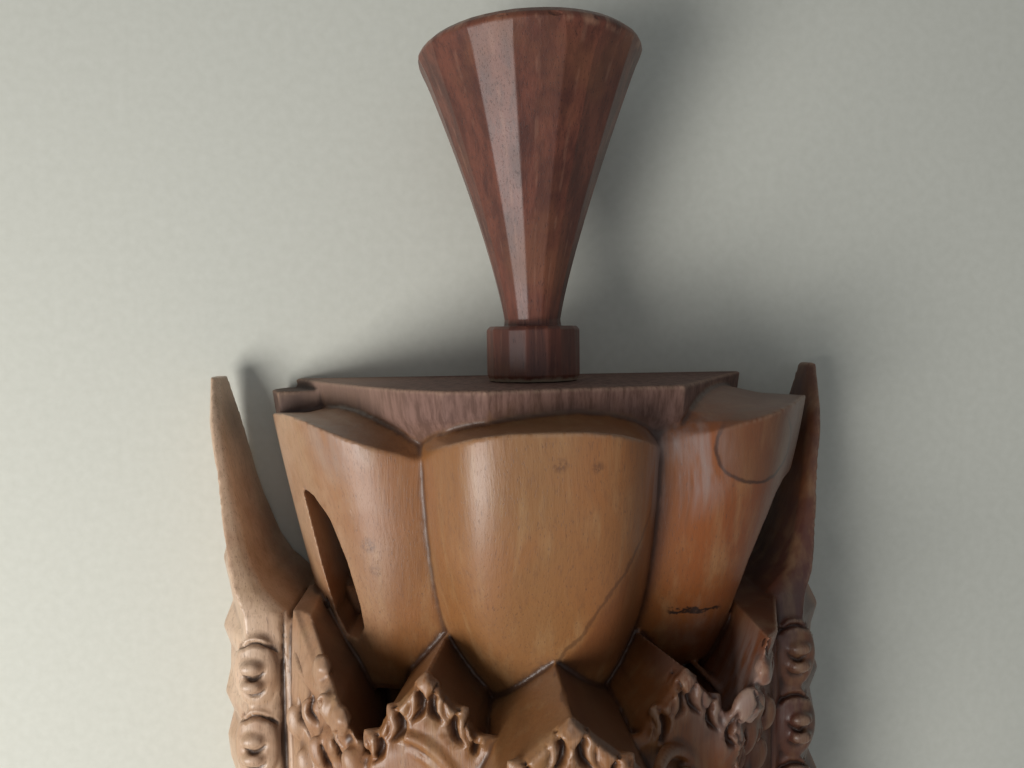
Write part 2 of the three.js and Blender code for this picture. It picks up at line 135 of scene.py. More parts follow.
bpy.ops.mesh.primitive_plane_add(size=6, location=(0, 0, -0.0004))
floor = bpy.context.object
floor.name = "floor"
card, tree = new_material("pale_card")
spot = add_node(tree, "TexCoord").outputs["Object"]
fibres = noise(tree, spot, 260, 6)
tone = mixed(tree, fibres, (0.57, 0.57, 0.5, 1), (0.66, 0.66, 0.59, 1))
shader = add_node(tree, "BsdfPrincipled", {"Base Color": tone, "Roughness": 0.9})
add_node(tree, "OutputMaterial", {"Surface": shader.outputs[0]})
floor.data.materials.append(card)


# ------------------------------------------------------------------ finial
# A trumpet of dense red-brown wood, cut by knife in sixteen flat facets with a low domed end.
# It stands on a collar of its own, which is glued to the crown's flat top.

facets = 16
facet_turn = 2 * math.pi / facets
collar_radius = 0.0185
collar_height = 0.021
neck_radius = 0.0108
rim_radius = 0.0427
flare_length = 0.1005
flare_steps = 40
end_lean = 0.04
rim_y = foot.y + collar_height + flare_length
axis = Vector((crown_x, foot.y, (foot.z + tip.z) / 2))


def grow(radius_now, radius, rise):
    """Extrudes the selected end of the finial by a rise, and gives it a new radius."""
    bpy.ops.mesh.extrude_region_move(TRANSFORM_OT_translate={"value": (0, rise, 0)})
    share = radius / radius_now
    bpy.ops.transform.resize(value=(share, 1, share), center_override=axis)
    return radius


bpy.ops.mesh.primitive_circle_add(
    vertices=3 * facets, radius=collar_radius - 0.001, fill_type="NGON", location=axis,
    rotation=(-math.pi / 2, facet_turn / 2, 0))
carved_finial = bpy.context.object
carved_finial.name = "carved_finial"
bpy.ops.object.mode_set(mode="EDIT")
radius = grow(collar_radius - 0.001, collar_radius, 0.0022)
radius = grow(radius, collar_radius, collar_height - 0.0035)
radius = grow(radius, collar_radius - 0.0012, 0.0013)
radius = grow(radius, neck_radius + 0.0006, 0)
for step in range(1, flare_steps + 1):
    wanted = neck_radius + (rim_radius - neck_radius) * (step / flare_steps) ** 1.25
    radius = grow(radius, wanted, flare_length / flare_steps)
dome_steps = ((1.0, 0.0008), (0.985, 0.0014), (0.93, 0.002), (0.75, 0.0028), (0.5, 0.0024), (0.2, 0.0024))
for share, rise in dome_steps:
    radius = grow(radius, rim_radius * share, rise)
bpy.ops.mesh.select_all(action="SELECT")
bpy.ops.mesh.normals_make_consistent(inside=False)
bpy.ops.object.mode_set(mode="OBJECT")
bpy.ops.object.transform_apply(location=True, rotation=True, scale=True)


def positions(piece):
    flat = np.empty(3 * len(piece.data.vertices), np.float32)
    piece.data.vertices.foreach_get("co", flat)
    return flat.reshape(-1, 3).astype(float)


def place_points(piece, points):
    piece.data.vertices.foreach_set("co", np.asarray(points, np.float32).ravel())
    piece.data.update()


# The facets are flat between sixteen uneven lines, and become round towards the rim.
points = positions(carved_finial)
share = np.clip((points[:, 1] - foot.y - collar_height) / flare_length, 0, 1)
points[:, 1] += end_lean * share ** 2 * (points[:, 0] - crown_x)
spread = points[:, [0, 2]] - (axis.x, axis.z)
angle = np.arctan2(spread[:, 1], spread[:, 0])
third = np.rint((angle / facet_turn - 0.5) * 3).astype(int)
uneven = np.random.default_rng(4)
lines = (np.arange(facets) + 0.5) * facet_turn + uneven.uniform(-0.06, 0.06, facets)
edges = np.stack([np.cos(lines), np.sin(lines)], axis=1) * uneven.uniform(0.985, 1, facets)[:, None]
between = (third % 3 / 3)[:, None]
flat = edges[third // 3 % facets] * (1 - between) + edges[(third // 3 + 1) % facets] * between
up_the_flare = points[:, 1] - foot.y - collar_height
last_tenth = np.clip((up_the_flare - 0.9 * flare_length) / (0.1 * flare_length), 0, 1)
rounding = (0.85 * last_tenth ** 2)[:, None]
size = np.linalg.norm(spread, axis=1)[:, None]
circle = np.stack([np.cos(angle), np.sin(angle)], axis=1)
points[:, [0, 2]] = size * (flat * (1 - rounding) + circle * rounding) + (axis.x, axis.z)
place_points(carved_finial, points)


def only(piece):
    bpy.ops.object.select_all(action="DESELECT")
    piece.select_set(True)
    bpy.context.view_layer.objects.active = piece


def apply_modifier(piece, kind, **settings):
    only(piece)
    bpy.ops.object.modifier_add(type=kind)
    modifier = piece.modifiers[-1]
    for name, setting in settings.items():
        setattr(modifier, name, setting)
    bpy.ops.object.modifier_apply(modifier=modifier.name)


# Its edges are rubbed round, and small chips have come off the rim's front.
apply_modifier(carved_finial, "BEVEL", width=0.0006, segments=2, limit_method="ANGLE", angle_limit=0.3)
for across, size in ((-0.0135, 0.0022), (-0.0095, 0.0016), (0.006, 0.0024), (0.021, 0.0014)):
    depth = math.sqrt(rim_radius ** 2 - across ** 2) + 0.0006
    bpy.ops.mesh.primitive_ico_sphere_add(
        subdivisions=2, radius=size, location=(axis.x + across, rim_y + 0.002, axis.z + depth))
    chip = bpy.context.object
    bpy.ops.transform.resize(value=(1.5, 0.8, 0.7))
    apply_modifier(carved_finial, "BOOLEAN", operation="DIFFERENCE", solver="EXACT", object=chip)
    bpy.data.objects.remove(chip)
only(carved_finial)
bpy.ops.object.shade_smooth_by_angle(angle=math.radians(4))


def stretched(tree, place, scale):
    return add_node(tree, "Mapping", {"Vector": place, "Scale": scale}).outputs[0]


def split(tree, place):
    """The X, Y and Z of a place."""
    return add_node(tree, "SeparateXYZ", {0: place}).outputs


def times(tree, *values):
    product = values[0]
    for value in values[1:]:
        product = maths(tree, "MULTIPLY", product, value)
    return product


def opposite(tree, share):
    return maths(tree, "SUBTRACT", 1, share)


def apart(tree, value, level):
    """How far a value is from a level, on either side."""
    return maths(tree, "ABSOLUTE", maths(tree, "SUBTRACT", value, level))


def new_group(name, inputs, outputs):
    """A shader node group with named sockets, the ends of which are given back."""
    group = bpy.data.node_groups.new(name, "ShaderNodeTree")
    for in_out, sockets in (("INPUT", inputs), ("OUTPUT", outputs)):
        for socket, kind in sockets:
            group.interface.new_socket(socket, in_out=in_out, socket_type="NodeSocket" + kind)
    return group, group.nodes.new("NodeGroupInput").outputs, group.nodes.new("NodeGroupOutput").inputs


# Wood grain that runs along Y: long streaks, short dark pores, and broad bands of growth.
grain, ends_in, ends_out = new_group("wood_grain", [("Place", "Vector")],
    [("Streaks", "Float"), ("Pores", "Float"), ("Figure", "Float"), ("Blotches", "Float")])
bend = maths(grain, "MULTIPLY", noise(grain, ends_in["Place"], 11, 2), 0.012)
bent = add_node(grain, "VectorMath", {0: ends_in["Place"], 1: bend}, operation="ADD").outputs[0]
streaks = noise(grain, stretched(grain, bent, (1, 0.04, 1)), 900, 4, 0.65)
pores = ramped(grain, noise(grain, stretched(grain, bent, (1, 0.1, 1)), 2600, 1), 0.63, 0.72)
figure = noise(grain, stretched(grain, bent, (1, 0.07, 1)), 150, 3, 0.6)
blotches = noise(grain, bent, 28, 4, 0.6)
for socket, value in zip(("Streaks", "Pores", "Figure", "Blotches"), (streaks, pores, figure, blotches)):
    grain.links.new(value, ends_out[socket])


def grain_at(tree, place):
    node = tree.nodes.new("ShaderNodeGroup")
    node.node_tree = grain
    tree.links.new(place, node.inputs["Place"])
    return node.outputs


polished, tree = new_material("polished_red_wood")
spot = add_node(tree, "TexCoord").outputs["Object"]
x, y, z = split(tree, spot)
wood = grain_at(tree, spot)
tone = mixed(tree, ramped(tree, wood["Figure"], 0.35, 0.65), (0.085, 0.026, 0.017, 1), (0.16, 0.05, 0.03, 1))
dark_streaks = times(tree, ramped(tree, wood["Streaks"], 0.45, 0.7), 0.5)
tone = mixed(tree, dark_streaks, tone, (0.055, 0.017, 0.012, 1))
warm_blotches = times(tree, ramped(tree, wood["Blotches"], 0.5, 0.7), 0.55)
tone = mixed(tree, warm_blotches, tone, (0.2, 0.075, 0.035, 1))
tone = mixed(tree, times(tree, wood["Pores"], 0.6), tone, (0.03, 0.01, 0.008, 1))

# The lines between facets and the rim are rubbed pale, and old glue shows at the foot.
around = maths(tree, "ARCTAN2", maths(tree, "SUBTRACT", z, axis.z), maths(tree, "SUBTRACT", x, axis.x))
facets_round = maths(tree, "ADD", times(tree, around, 1 / facet_turn), facets)
from_line = maths(tree, "PINGPONG", facets_round, 0.5)
rubbed = opposite(tree, ramped(tree, from_line, 0.02, 0.09))
broken = ramped(tree, noise(tree, stretched(tree, spot, (1, 0.3, 1)), 240, 3), 0.45, 0.65)
tone = mixed(tree, times(tree, rubbed, broken, 0.3), tone, (0.3, 0.14, 0.09, 1))
near_rim = opposite(tree, ramped(tree, apart(tree, y, rim_y + 0.0015), 0.0008, 0.003))
tone = mixed(tree, times(tree, near_rim, broken, 0.55), tone, (0.36, 0.19, 0.12, 1))
ragged_height = times(tree, noise(tree, spot, 300, 3), 0.004)
glue = opposite(tree, ramped(tree, maths(tree, "SUBTRACT", y, foot.y), 0, ragged_height))
tone = mixed(tree, times(tree, glue, 0.7), tone, (0.42, 0.36, 0.26, 1))
gloss = maths(tree, "MULTIPLY_ADD", wood["Blotches"], 0.3, 0.3)
height = maths(tree, "MULTIPLY_ADD", wood["Pores"], -0.5, wood["Streaks"])
relief = add_node(tree, "Bump", {"Strength": 0.22, "Distance": 0.0005, "Height": height}).outputs[0]
shader = add_node(tree, "BsdfPrincipled", {"Base Color": tone, "Roughness": gloss, "Normal": relief,
    "Specular IOR Level": 0.4, "Coat Weight": 0.14, "Coat Roughness": 0.3})
add_node(tree, "OutputMaterial", {"Surface": shader.outputs[0]})
carved_finial.data.materials.clear()
carved_finial.data.materials.append(polished)
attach(carved_finial, "root")
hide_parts("finial")


# ------------------------------------------------------------------ mask: the block and its crown
# The mask is carved from one block of honey-coloured wood, with three swelling petals on a half
# hexagon below the finial. Gouged and scraped smooth, then waxed.

petal_length = 0.106
petal_sunk = 0.009  # how far a petal's edges run into the crown

carved_mask = bpy.data.objects.new("carved_mask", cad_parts["mask"].data.copy())
bpy.context.collection.objects.link(carved_mask)
only(carved_mask)
bpy.ops.object.mode_set(mode="EDIT")
bpy.ops.mesh.select_all(action="SELECT")
bpy.ops.mesh.remove_doubles(threshold=1e-6)
bpy.ops.object.mode_set(mode="OBJECT")


def facet_depth(y):
    """How far the half hexagon's sides stand from its middle, at a height below the crown's top."""
    return hex_height * (0.973 + 2.8 * y)


def petal(turn, reach, half_width, rim_top, bevel_top, rim_drop, slimming, tail, tail_width):
    """One petal: a swelling belly under an arched rim, with a dished bevel behind the rim.

    It is turned about the crown's middle and swells to a reach. Its tail is a share of the reach and width.
    """
    columns, bevel_rows, belly_rows = 56, 7, 44
    rows = bevel_rows + belly_rows + 2
    bpy.ops.mesh.primitive_grid_add(x_subdivisions=columns, y_subdivisions=rows - 1, size=2)
    piece = bpy.context.object
    grid = positions(piece)
    across = np.sin(grid[:, 0] * math.pi / 2)
    row = np.rint((1 - grid[:, 1]) / 2 * (rows - 1)).astype(int)
    full = 1 - across ** 4
    rim_y = rim_top - rim_drop * np.abs(across) ** 3
    back_y = bevel_top - (rim_drop + rim_top - bevel_top - 0.003) * across ** 2
    back_n = hex_height - 0.003 - (petal_sunk + 0.005) * np.abs(across) ** 3

    def width_at(v):
        narrowing = (1 - tail_width ** 2) * (np.abs(v - 0.15) / 0.85) ** 2.6
        return half_width * np.sqrt(1 - narrowing)

    def belly(v):
        y = rim_y + (rim_top - petal_length - rim_y) * v
        edge = facet_depth(y) - petal_sunk
        crest = reach * (1 - slimming * v - (1 - tail - slimming) * v * v)
        return across * width_at(v), y, edge + (crest - edge) * full

    def bevel(w):
        sag = 4 * w * (1 - w) * 0.0015 * full
        t = across * half_width * 0.98
        rim_n = belly(0 * across)[2]
        return t, back_y + (rim_y - back_y) * w - sag, back_n + (rim_n - back_n) * w

    v = np.clip((row - bevel_rows - 1) / belly_rows, 0, 1)
    w = np.clip((row - 1) / (bevel_rows + 1), 0, 1)
    on_belly = row > bevel_rows
    t, y, n = (np.where(on_belly, low, high) for low, high in zip(belly(v), bevel(w)))
    first, last = row == 0, row == rows - 1
    t = np.where(first, 0.9 * t, t)
    y = np.where(first, y - 0.008, y)
    n = np.where(first, n - 0.02, n)
    n = np.where(last, facet_depth(y) - 0.018, n)
    out = np.array((math.sin(turn), 0, math.cos(turn)))
    side = np.array((math.cos(turn), 0, -math.sin(turn)))
    placed = np.outer(n, out) + np.outer(t, side) + np.outer(y, (0, 1, 0))
    place_points(piece, placed + np.array((crown_x, crown_top, 0)))
    piece.location = (0, 0, 0)
    bpy.ops.object.mode_set(mode="EDIT")
    bpy.ops.mesh.select_all(action="DESELECT")
    bpy.ops.mesh.select_non_manifold()
    bpy.ops.mesh.edge_face_add()
    bpy.ops.mesh.select_all(action="SELECT")
    bpy.ops.mesh.normals_make_consistent(inside=False)
    bpy.ops.object.mode_set(mode="OBJECT")
    return piece


petals = [
    petal(turn=-math.pi / 3, reach=0.109, half_width=0.055, rim_top=-0.011, bevel_top=-0.009,
          rim_drop=0.017, slimming=0.185, tail=0.8, tail_width=0.65),
    petal(turn=0, reach=0.112, half_width=0.046, rim_top=-0.0124, bevel_top=-0.006,
          rim_drop=0.014, slimming=0.06, tail=0.73, tail_width=0.56),
    petal(turn=math.pi / 3, reach=0.119, half_width=0.055, rim_top=-0.0075, bevel_top=-0.003,
          rim_drop=0.015, slimming=0.12, tail=0.73, tail_width=0.5),
]


def prism(outline, low, high):
    """A prism that stands on the floor's plane, over an outline of [x, y] counted from the crown's top."""
    bpy.ops.mesh.primitive_circle_add(vertices=len(outline), fill_type="NGON")
    piece = bpy.context.object
    place_points(piece, [(x, crown_top + y, low) for x, y in outline])
    bpy.ops.object.mode_set(mode="EDIT")
    bpy.ops.mesh.extrude_region_move(TRANSFORM_OT_translate={"value": (0, 0, high - low)})
    bpy.ops.mesh.select_all(action="SELECT")
    bpy.ops.mesh.normals_make_consistent(inside=False)
    bpy.ops.object.mode_set(mode="OBJECT")
    return piece


def rounded(corners, between=6):
    """A smooth closed outline through its corners."""
    ring = np.array(corners)
    before, here, after, then = (np.roll(ring, shift, axis=0) for shift in (1, 0, -1, -2))
    outline = []
    for i in range(len(ring)):
        for t in np.arange(between) / between:
            outline.append(tuple(0.5 * (2 * here[i] + (after[i] - before[i]) * t
                + (2 * before[i] - 5 * here[i] + 4 * after[i] - then[i]) * t * t
                + (3 * here[i] - before[i] - 3 * after[i] + then[i]) * t ** 3)))
    return outline


# The petals end at the mask's flat back. The left one is cut through and the right one notched.
for piece in petals:
    only(piece)
    bpy.ops.object.mode_set(mode="EDIT")
    bpy.ops.mesh.select_all(action="SELECT")
    bpy.ops.mesh.bisect(plane_co=(0, 0, 0), plane_no=(0, 0, 1), clear_inner=True, use_fill=True)
    bpy.ops.object.mode_set(mode="OBJECT")
slot = prism(rounded([
    (-0.0865, -0.04), (-0.080, -0.041), (-0.073, -0.048), (-0.067, -0.063), (-0.063, -0.080),
    (-0.062, -0.090), (-0.0645, -0.096), (-0.070, -0.097), (-0.075, -0.091), (-0.080, -0.072)]), -0.001, 0.14)
bite = prism([
    (0.14, -0.039), (0.097, -0.039), (0.092, -0.042), (0.086, -0.054), (0.0815, -0.066), (0.078, -0.080),
    (0.076, -0.092), (0.080, -0.096), (0.14, -0.096)], -0.001, 0.14)
for piece, cut in ((petals[0], slot), (petals[2], bite)):
    apply_modifier(piece, "BOOLEAN", operation="DIFFERENCE", solver="EXACT", object=cut)
for cut in (slot, bite):
    bpy.data.objects.remove(cut)


# ------------------------------------------------------------------ mask: the raised carving
# Leaf lobes, beads and scrolls stand out of the block on the wings, the gables and the leaf blocks.
# They are cut from the same wood, so they are built on to the block before its surface is closed.

raised = []
module_top = -98  # the first pair of beads on a wing, in millimetres from the crown's top
module_pitch = 27.5
modules = 5
strip_middle = 104  # the beaded strip's place from the wings' middle
eye_x, eye_y = 34, -217
cheek_y = -250
mouth_y = -288


def over_block(x, y):
    """The point of the block's upper surface that lies over x and y, counted in millimetres."""
    start = Vector((x / 1000, crown_top + y / 1000, 0.3))
    hit = block_surface.ray_cast(start, Vector((0, 0, -1)))[0]
    return hit or start * Vector((1, 1, 0))


def blob(x, y, radii, lift=0.0, turn=(0, 0, 0), z=None):
    """A rounded lump with half sizes in millimetres, sunk in the surface and turned in its own place."""
    place = over_block(x, y)
    place.z = (place.z + lift / 1000) if z is None else z / 1000
    bpy.ops.mesh.primitive_uv_sphere_add(
        segments=20, ring_count=12, radius=0.001, location=place, rotation=turn)
    bpy.ops.transform.resize(value=radii, orient_type="LOCAL", center_override=place)
    bpy.ops.object.transform_apply(location=True, rotation=True, scale=True)
    raised.append(bpy.context.object)


def rod(stops, lift=0.0):
    """A tapering rounded ridge along stops of x, y, radius and perhaps z, or else the surface's own z."""
    bpy.ops.curve.primitive_nurbs_path_add()
    curve = bpy.context.object
    spline = curve.data.splines[0]
    spline.points.add(max(0, len(stops) - len(spline.points)))
    for i, point in enumerate(spline.points):
        x, y, radius, *z = stops[min(i, len(stops) - 1)]
        place = over_block(x, y) + Vector((0, 0, lift / 1000))
        point.co = (place.x, place.y, z[0] / 1000 if z else place.z, 1)
        point.radius = radius
    curve.data.bevel_depth = 0.001
    curve.data.bevel_resolution = 3
    curve.data.use_fill_caps = True
    spline.use_endpoint_u = True
    curve.location = (0, 0, 0)
    bpy.ops.object.convert(target="MESH")
    raised.append(bpy.context.object)


petal_surfaces = [BVHTree.FromObject(piece, bpy.context.evaluated_depsgraph_get()) for piece in petals]
only(carved_mask)
for piece in petals:
    piece.select_set(True)
bpy.ops.object.join()
block_surface = BVHTree.FromObject(carved_mask, bpy.context.evaluated_depsgraph_get())

# Each gable: its turn, apex, place from the middle, half width, front and length, in millimetres.
gables = [
    (-0.18, -90, -17.5, 22, 107, 78),
    (0.02, -94, 4.5, 32, 129.9, 80),
    (0.28, -94, 20.5, 22, 105, 76),
]
gable_half = ((0, 0), (0.3, -0.1), (0.68, -0.22), (0.94, -0.42), (1, -0.72), (0.82, -1))


def on_gable(gable, u, v):
    """Where a point on a gable's front face lies, counted across and along from its apex."""
    turn, apex, middle, _, front, _ = gable
    return middle + u * math.cos(turn) + front * math.sin(turn), apex + v


# The leaves stand out in one level from each gable's front, up to its edge.
for gable in gables:
    turn, apex, middle, half_width, front, length = gable
    right_half = [(0.95 * half_width * x, length * (0.98 * y - 0.012)) for x, y in gable_half]
    outline = right_half + [(-x, y) for x, y in reversed(right_half[1:])]
    plate = prism([(x / 1000, y / 1000) for x, y in outline], (front - 6) / 1000, (front + 2.7) / 1000)
    only(plate)
    bpy.ops.transform.translate(value=(0, -crown_top, 0))
    bpy.ops.object.transform_apply(location=True)
    plate.data.transform(Matrix.Rotation(turn, 4, "Y"))
    plate.data.transform(Matrix.Translation((middle / 1000, crown_top + apex / 1000, 0)))
    raised.append(plate)

# Two small steps are left on the right leaf block, and leaf lobes stand on both.
for stops in ([(65, -112, 1.3), (73, -115, 1.5)], [(72, -109, 1.1), (77, -111, 1.2)]):
    rod(stops, lift=0.8)
for x, y, lean in (
        (70, -108, 0.5), (65, -116, 0.5), (61, -124, 0.5), (80, -119, 0.35), (76, -129, 0.35),
        (88, -126, 0.2), (70, -134, 0.4), (84, -141, 0.3)):
    for side in (-1, 1):
        blob(side * x, y, (4.2, 7, 2.4), lift=0.3, turn=(0, 0, -side * lean))

# A leaf rolls over below the crest of each flank gable, in two bands.
for shift, radius in ((0, 2.6), (5.2, 2.1)):
    rod([(-44, -110 - shift, 1.2), (-38, -111 - shift, radius), (-30, -116 - shift, radius + 0.4),
         (-25, -125 - shift, radius), (-25, -134 - shift, 1)], lift=1.6)
    rod([(31 - shift / 2, -120 - shift, 1.2), (38, -115.5 - shift, radius), (46, -117 - shift, radius + 0.5),
         (53, -124 - shift, radius), (55, -134 - shift, 1)], lift=1.4)

# On each wing, tongues that carry two beads each.
for side in (-1, 1):
    for module in range(modules):
        y = module_top - module_pitch * module
        middle = side * strip_middle
        blob(middle, y - 10, (8.5, 14, 3.2), lift=-0.4)
        for drop in (7, 14):
            blob(middle + 1.2 * side, y - drop, (4.3, 2.7, 2.4), lift=1.5)

# The face: bulging eyes under heavy brows, a broad nose, cheeks, lips and chin. Sizes in millimetres.
head_levels = np.array((-345, -332, -310, -275, -235, -190, -150, -120.0))
head_widths = np.array((22, 42, 60, 76, 84, 84, 78, 66.0))
head_heights = np.array((34, 60, 76, 86, 90, 92, 84, 66.0))


def head_size(y):
    """Half the head's width, and its height, at y: smoothly between its levels."""
    return [sum(np.interp(y + d, head_levels, sizes) for d in (-6, 0, 6)) / 3
            for sizes in (head_widths, head_heights)]


def on_head(x, y):
    """The height of the head's boxy rounded form over x and y."""
    width, height = head_size(y)
    return height * math.sin(math.acos(min(1, abs(x) / width) ** (1 / 0.85))) ** 0.8


for side in (-1, 1):
    blob(side * eye_x, eye_y, (17.5, 16.5, 17.5), z=on_head(eye_x, eye_y) - 5)
    rod([(side * x, y, r + 0.7, on_head(x, y) + 3) for x, y, r in (
        (7, -212, 6), (20, -194, 9), (42, -188, 9), (62, -196, 7), (74, -184, 3))])
    blob(side * 21, -249, (13.4, 12.4, 13.4), z=103)
    blob(side * 54, cheek_y, (23.5, 27.5, 17.5), z=64, turn=(0, side * 0.7, 0))
    lid = []
    for step in range(17):
        t = 2 * math.pi * step / 16
        height = on_head(eye_x + 17 * math.cos(t), eye_y) + 1.5
        lid.append((side * (eye_x + 20 * math.cos(t)), eye_y + 18 * math.sin(t), 3.8, height))
    rod(lid)
rod([(0, -198, 9, 90), (0, -212, 11, 96), (0, -226, 14, 101), (0, -248, 17.5, 108)])
blob(0, -248, (19.5, 15.5, 17.5), z=112)
blob(0, -322, (26.5, 15.5, 18.5), z=60)
for drop in (14, -15):
    lip = [(x, mouth_y + drop * (1 - (x / 66) ** 4) + 0.0035 * x * x) for x in range(-56, 57, 8)]
    rod([(x, y, 6.1 - abs(x) / 22, on_head(x, y) + 0.5) for x, y in lip])

# All of it becomes one closed surface.
only(carved_mask)
for piece in raised:
    piece.select_set(True)
bpy.ops.object.join()
apply_modifier(carved_mask, "REMESH", mode="VOXEL", voxel_size=0.0008)
apply_modifier(carved_mask, "SMOOTH", factor=0.5, iterations=4)


# ------------------------------------------------------------------ mask: the gouge cuts
# Crescent cuts between the lobes, made with small round gouges, deepest at the middle of each stroke.

block_surface = BVHTree.FromObject(carved_mask, bpy.context.evaluated_depsgraph_get())
surface = positions(carved_mask)


def directions(piece):
    flat = np.empty(3 * len(piece.data.vertices), np.float32)
    piece.data.vertices.foreach_get("normal", flat)
    return flat.reshape(-1, 3).astype(float)


normals = directions(carved_mask)
pushed = np.zeros(len(surface))

# The head is scraped round: what lies just inside its smooth form is brought out to it.
width, height = (size / 1000 for size in head_size((surface[:, 1] - crown_top) * 1000))
fill = (abs(surface[:, 0]) / width) ** 2.353 + (np.clip(surface[:, 2], 0, 1) / height) ** 2.5
growth = np.clip(fill, 0.01, 10) ** (-1 / 2.42)
facing_out = (surface * normals)[:, [0, 2]].sum(1) > 0.3 * np.hypot(surface[:, 0], surface[:, 2])
on_the_head = (surface[:, 2] > 0.004) & (surface[:, 1] < crown_top - 0.122)
inside = (growth > 1) & (growth < 1.035) & facing_out & on_the_head
surface[np.ix_(inside, [0, 2])] *= growth[inside, None]


def gouge(stops, width, depth):
    """One stroke of a gouge along stops of x and y in millimetres, tapering at both ends."""
    stops = np.array(stops, float)
    reached = np.append(0, np.cumsum(np.linalg.norm(np.diff(stops, axis=0), axis=1)))
    count = max(5, int(reached[-1] / (0.3 * width)) + 1)
    along = np.linspace(0, reached[-1], count)
    xs, ys = (np.interp(along, reached, stops[:, i]) for i in (0, 1))
    path = np.array([over_block(x, y) for x, y in zip(xs, ys)])
    same_face = abs(path[:, 2] - np.median(path[:, 2])) < 0.3 * reached[-1] / 1000 + 0.004
    path, count = path[same_face], same_face.sum()
    reach = width / 2000
    near = np.all((surface > path.min(0) - reach) & (surface < path.max(0) + reach), axis=1).nonzero()[0]
    if not len(near):
        return
    swell = 0.35 + 0.65 * np.sin(np.pi * (np.arange(count) + 0.5) / count)
    gaps = np.linalg.norm(surface[near, None] - path[None], axis=2) / (reach * swell)
    cut = depth / 1000 * swell * np.clip(1 - gaps ** 2, 0, 1)
    pushed[near] = np.maximum(pushed[near], cut.max(1))


def arc(x, y, radius, start, end, count=6):
    """Stops along an arc, with its angles in degrees from the right, counted towards the crown."""
    angles = np.radians(np.linspace(start, end, count))
    return [(x + radius * math.cos(a), y + radius * math.sin(a)) for a in angles]


# A crescent over each pair of beads, small ones under the beads, and a groove inside the strip.
for side in (-1, 1):
    for module in range(modules):
        y = module_top - module_pitch * module
        middle = side * strip_middle
        gouge(arc(middle, y - 7, 9, 28, 152), 2.6, 2.6)
        for drop in (7, 14):
            gouge(arc(middle, y - drop, 4.4, 195, 345), 2, 1.6)
    gouge([(side * 94, y) for y in range(-86, -215, -12)], 3, 2.2)

# Comma cuts part the leaves along each gable's two slopes, and thin crescents line each leaf.
for gable in gables:
    half_width, length = gable[3], gable[5]
    pitch = 0.27 * half_width + 1
    for side in (-1, 1):
        for leaf in range(3):
            u = (leaf + 0.42) * pitch
            edge = -0.33 * u * length / half_width * 0.9
            stroke = [(u + 1.6, edge + 1), (u + 0.2, edge - 2.5), (u - 1.6, edge - 6), (u - 1, edge - 9.5),
                      (u + 1.6, edge - 12)]
            gouge([on_gable(gable, side * across, down) for across, down in stroke], 3.6, 4.2)
            line = [(u + 4.2, edge - 3.5), (u + 2.6, edge - 6.5), (u + 3, edge - 10), (u + 5.5, edge - 12.5)]
            gouge([on_gable(gable, side * across, down) for across, down in line], 1.5, 1.3)

# The eyes' irises, a whorl on each cheek, hairs across the brows, and small arches over the forehead.
for side in (-1, 1):
    gouge(arc(side * eye_x, eye_y, 7, 0, 360, 24), 2.4, 1.8)
    gouge(arc(side * 56, -251, 13, 90 - 60 * side, 90 + 200 * side, 14), 2.6, 1.6)
    gouge(arc(side * 56, -251, 6, 90 - 60 * side, 90 + 160 * side, 10), 2.2, 1.4)
    for x, y in ((22, -196), (31, -191), (40, -189), (49, -190), (58, -194)):
        gouge([(side * x, y - 6), (side * (x + 3), y), (side * (x + 4), y + 6)], 1.8, 1.3)
    for step in range(5):
        x = 8 + 10 * step
        gouge(arc(side * x, -181 + 0.06 * x, 4.4, 20, 160), 2, 1.6)

# Cuts in the leaf blocks inside the wings, with long parallel ones below.
for side in (-1, 1):
    for stroke in (
            ((80, -86), (79, -92)), ((89, -100), (84, -105)), ((73, -103), (75, -107), (72, -112)),
            ((80, -112), (81, -117), (78, -121)), ((67, -112), (69, -116), (66, -120)),
            ((87, -116), (86, -124), (82, -131)), ((76, -124), (73, -134), (66, -143)),
            ((71, -121), (68, -131), (61, -139)), ((82, -127), (79, -138), (72, -148))):
        gouge([(side * x, y) for x, y in stroke], 2.8, 2.6)

surface -= normals * pushed[:, None]
place_points(carved_mask, surface)


# ------------------------------------------------------------------ mask: wear, dirt, painted light and shade, and finish
# Handling has rubbed the raised edges pale, and wax and dust have gathered in the cuts, which are also given
# painted shade. The crown's own block is scraped and dull, and the back is bare wood.

ends = np.empty(2 * len(carved_mask.data.edges), np.int32)
carved_mask.data.edges.foreach_get("vertices", ends)
first_end, last_end = ends.reshape(-1, 2).T
neighbours = np.bincount(ends, minlength=len(surface))[:, None]


def softened(values, times):
    """Each vertex's values averaged with its neighbours', over and over."""
    for _ in range(times):
        total = np.stack([
            np.bincount(first_end, values[last_end, i], len(values))
            + np.bincount(last_end, values[first_end, i], len(values))
            for i in range(values.shape[1])], axis=1)
        values = 0.5 * values + 0.5 * total / neighbours
    return values


def remember(name, values):
    """Keeps a number from 0 to 1 for each vertex, for the finish to read."""
    attribute = carved_mask.data.attributes.new(name, "FLOAT", "POINT")
    attribute.data.foreach_set("value", np.clip(values, 0, 1).astype(np.float32))


def soft_mask(chosen, times):
    return softened(np.asarray(chosen, float)[:, None], times)[:, 0]


normals = directions(carved_mask)
sunk = ((softened(surface, 24) - surface) * normals).sum(1)
# The hollows hold dark wax and dust, and also get painted shade; the ridges get wear.
remember("hollow_dirt_and_shade", soft_mask(np.clip(sunk / 0.0007, 0, 1), 2))
remember("worn", soft_mask(np.clip(-sunk / 0.0009, 0, 1), 2))

